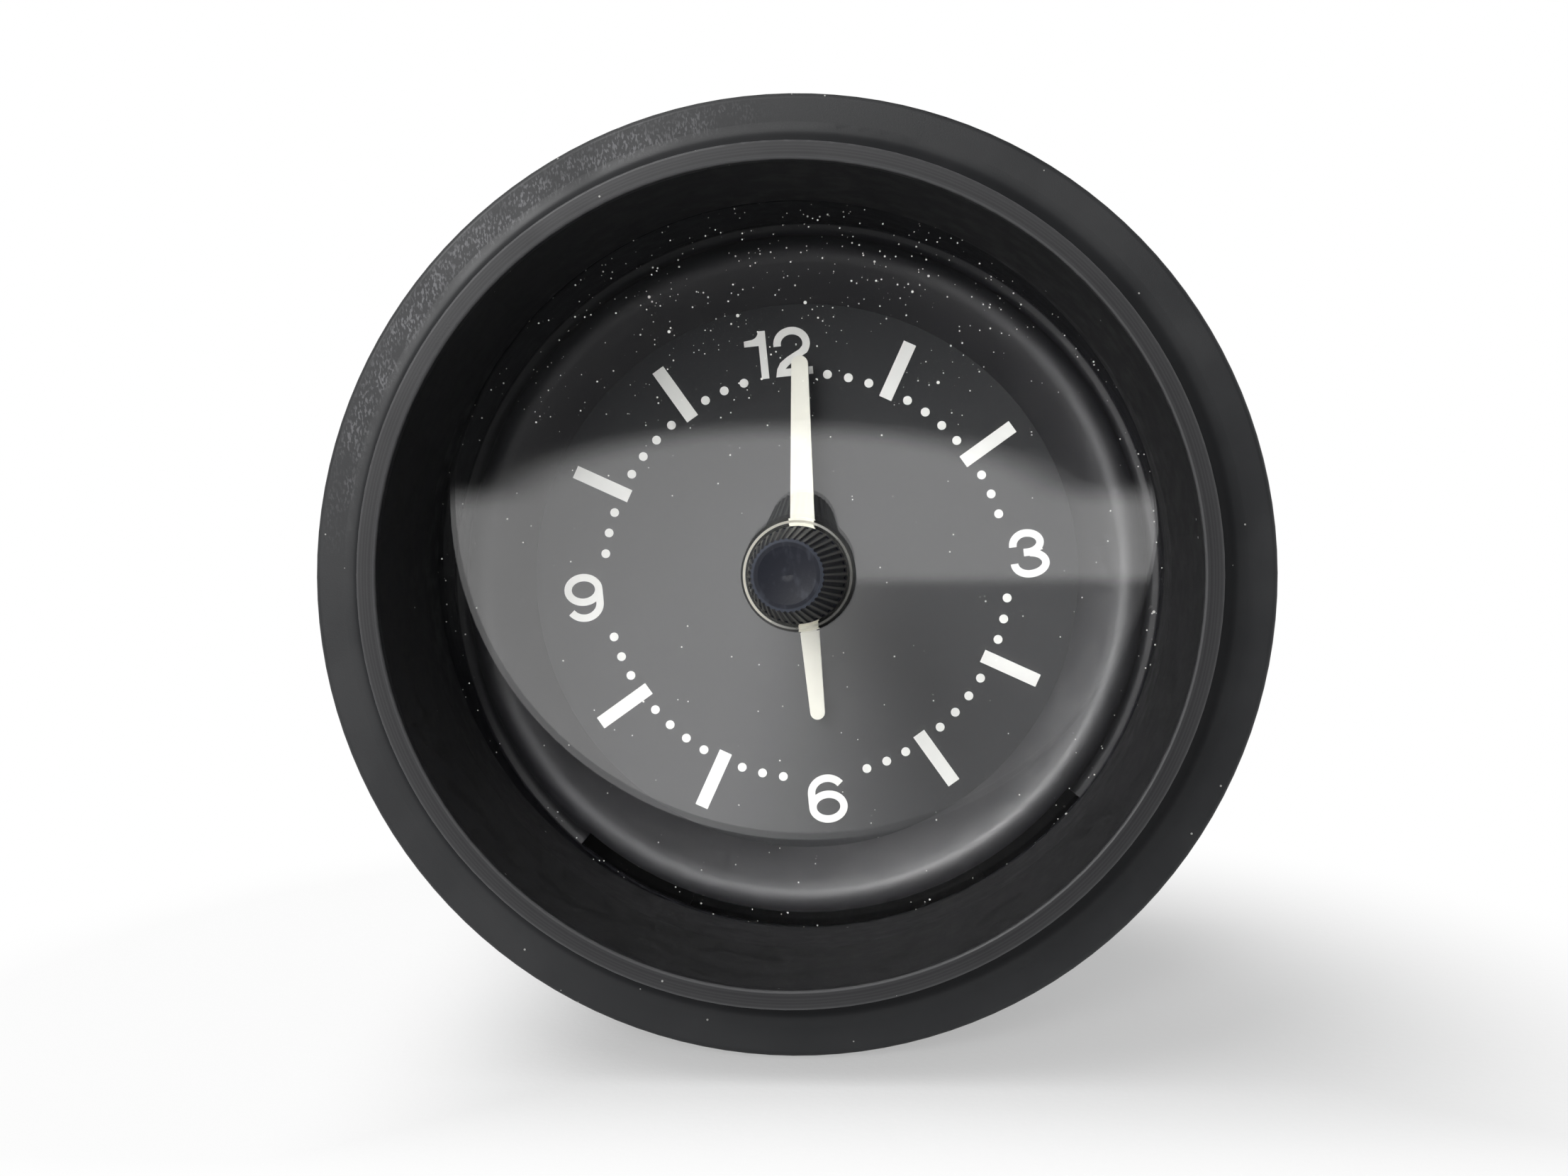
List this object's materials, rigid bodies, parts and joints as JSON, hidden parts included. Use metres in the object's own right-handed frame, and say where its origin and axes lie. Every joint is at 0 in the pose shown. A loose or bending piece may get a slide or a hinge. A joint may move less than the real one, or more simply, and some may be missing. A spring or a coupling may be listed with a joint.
{
  "type": "car dashboard clock",
  "caption": "Round dashboard clock for a panel hole: flanged bezel, deep glare funnel, tilted glass, centre setting knob, black dial and hands driven by a gear train.",
  "frame": {"origin": "centre of the flange's rear face, on the clock's axis", "axes": "+Y along the axis into the panel, the dial faces -Y, +Z towards 12 o'clock, +X towards 3 o'clock"},
  "size_m": [0.09, 0.0719, 0.09],
  "materials": {
    "black_plastic": "satin",
    "grip_rubber": "matt",
    "funnel_black": "matt",
    "clear_glass": "polished",
    "clear_plastic": "polished",
    "mask_black": "satin",
    "dial_black": "matt",
    "white_paint": "matt",
    "cream_paint": "satin",
    "zinc_steel": "plated",
    "bright_steel": "turned",
    "brass": "machined",
    "knob_plastic": "moulded",
    "black_insulator": "moulded",
    "lamp_glass": "clear",
    "tip_rubber": "matt"
  },
  "bodies": {
    "case": {"front_bezel": "black_plastic", "grip_ring": "grip_rubber", "glare_funnel": "funnel_black", "glass": "clear_glass", "knob_bush": "clear_plastic", "dial_mask": "mask_black", "dial_plate": "dial_black", "hour_marks": "white_paint", "case_can": "zinc_steel", "front_plate": "brass", "back_plate": "brass", "plate_pillars": "brass", "plate_screws": "bright_steel", "dial_pillars": "brass", "rear_standoffs": "bright_steel", "rear_screws": "bright_steel", "drive_motor": "zinc_steel", "wheel_stud": "bright_steel", "lamp_socket": "black_insulator", "lamp": "lamp_glass", "terminal_insulator": "black_insulator", "terminal_blades": "brass", "knob_spring": "bright_steel"},
    "plunger": {"thrust_washer": "bright_steel"},
    "knob": {"setting_knob": "knob_plastic", "knob_shaft": "bright_steel", "retaining_clip": "bright_steel", "friction_tip": "tip_rubber"},
    "minute_train": {"minute_arbor": "bright_steel", "cannon_pinion": "brass", "centre_wheel": "brass", "minute_hand": "cream_paint"},
    "hour_train": {"hour_wheel": "brass", "hour_hand": "cream_paint"},
    "minute_gear": {"minute_wheel": "brass", "minute_pinion": "bright_steel"},
    "motor_rotor": {"motor_pinion": "bright_steel"}
  },
  "joints": [
    {"name": "knob_push", "type": "slide", "parent": "case", "child": "plunger", "axis": [0, 1, 0], "range_m": [0, 0.0012], "stiffness_N_per_m": 800, "springref_m": -0.001, "deforming": ["knob_spring"]},
    {"name": "knob_turn", "type": "hinge", "parent": "plunger", "child": "knob", "pos_m": [0, 0, 0], "axis": [0, 1, 0], "continuous": true},
    {"name": "minute_turn", "type": "hinge", "parent": "case", "child": "minute_train", "pos_m": [0, 0.03, 0], "axis": [0, 1, 0], "continuous": true},
    {"name": "hour_turn", "type": "hinge", "parent": "case", "child": "hour_train", "pos_m": [0, 0.024, 0], "axis": [0, 1, 0], "continuous": true},
    {"name": "minute_gear_turn", "type": "hinge", "parent": "case", "child": "minute_gear", "pos_m": [0.012, 0.025, 0], "axis": [0, 1, 0], "continuous": true},
    {"name": "motor_turn", "type": "hinge", "parent": "case", "child": "motor_rotor", "pos_m": [-0.018, 0.036, 0], "axis": [0, 1, 0], "continuous": true}
  ],
  "couplings": [
    {"joint": "hour_turn", "follows": "minute_turn", "ratio": 0.083333},
    {"joint": "minute_gear_turn", "follows": "minute_turn", "ratio": -0.33333},
    {"joint": "motor_turn", "follows": "minute_turn", "ratio": -8}
  ]
}
